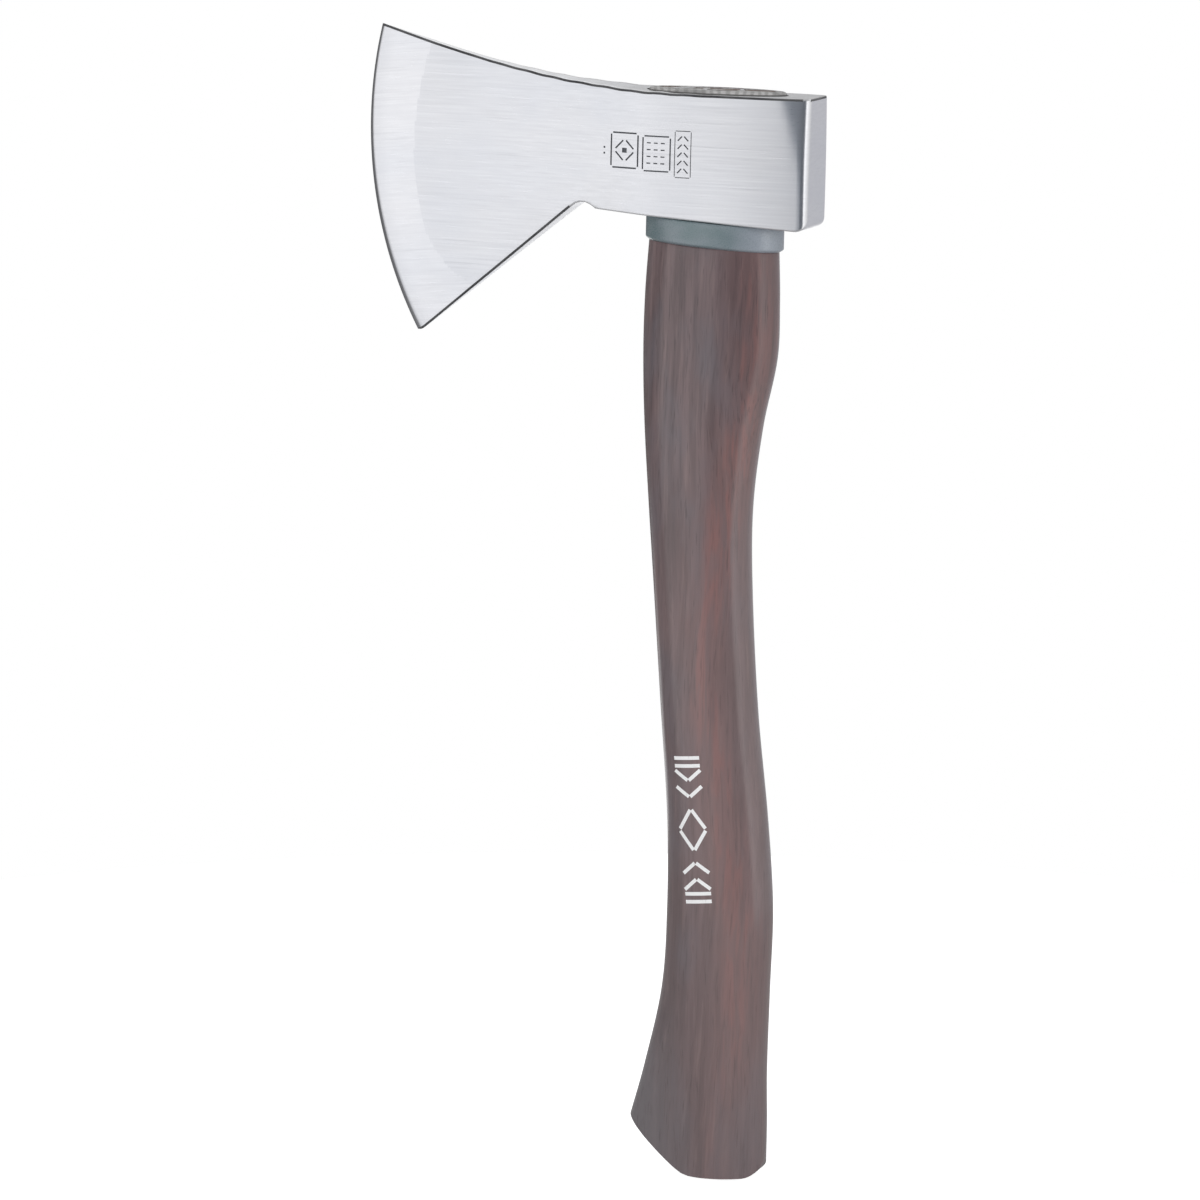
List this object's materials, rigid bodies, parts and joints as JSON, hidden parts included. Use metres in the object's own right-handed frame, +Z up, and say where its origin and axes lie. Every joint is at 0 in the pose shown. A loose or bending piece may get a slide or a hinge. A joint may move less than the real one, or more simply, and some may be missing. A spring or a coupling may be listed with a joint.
{
  "type": "hatchet",
  "caption": "Hatchet with a ground steel head, arc cutting edge and square poll, wedged onto a curved hickory handle with a grey collar and a flared, slanted butt.",
  "frame": {"origin": "centre of the handle's flat butt face", "axes": "+Z up the handle to the head, +X from the cutting edge to the poll, Y across the thickness"},
  "size_m": [0.147, 0.0256, 0.3605],
  "materials": {
    "ground_steel": "finely ground and clear-lacquered steel, grinding lines along the blade",
    "stained_hickory": "dark stained hickory, satin lacquer, grain along the handle",
    "grey_plastic": "moulded slate-grey plastic, satin",
    "wedge_wood": "plain sawn beech, end grain showing",
    "wedge_steel": "plain drawn steel, driven in and sanded over",
    "white_ink": "thin white pad-printed ink on the handle"
  },
  "bodies": {
    "root": {"axe_head": "ground_steel", "handle": "stained_hickory", "handle_collar": "grey_plastic", "wooden_wedge": "wedge_wood", "ring_wedge": "wedge_steel", "flat_wedge": "wedge_steel"}
  },
  "joints": []
}
